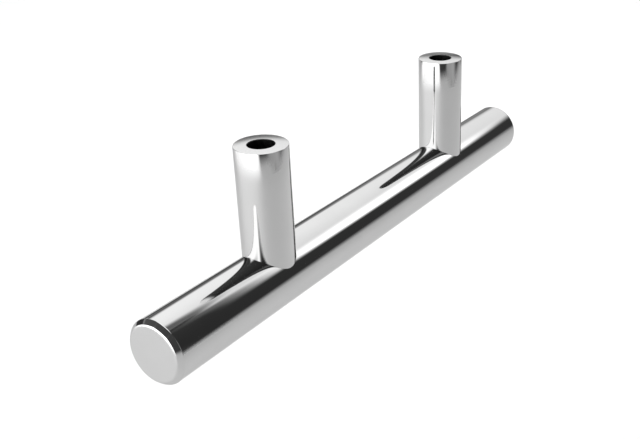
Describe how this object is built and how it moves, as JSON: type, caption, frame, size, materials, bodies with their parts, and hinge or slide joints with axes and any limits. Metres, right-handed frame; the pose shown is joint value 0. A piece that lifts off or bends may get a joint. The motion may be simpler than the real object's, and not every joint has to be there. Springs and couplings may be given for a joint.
{
  "type": "bar handle",
  "caption": "Round bar pull for a drawer or door, held off the surface by round posts with screw holes in their free ends.",
  "frame": {"origin": "on the mounting plane, at the free ends of the posts, midway between the screw holes", "axes": "+X along the bar, +Z along the posts out of the screw holes towards the door, the bar below the plane"},
  "size_m": [0.124, 0.012, 0.0325],
  "materials": {
    "bar_chrome": "polished",
    "post_chrome": "polished",
    "stud_steel": "turned, lightly oiled"
  },
  "bodies": {
    "root": {"bar": "bar_chrome", "post_left": "post_chrome", "post_right": "post_chrome", "stud_left": "stud_steel", "stud_right": "stud_steel"}
  },
  "joints": []
}
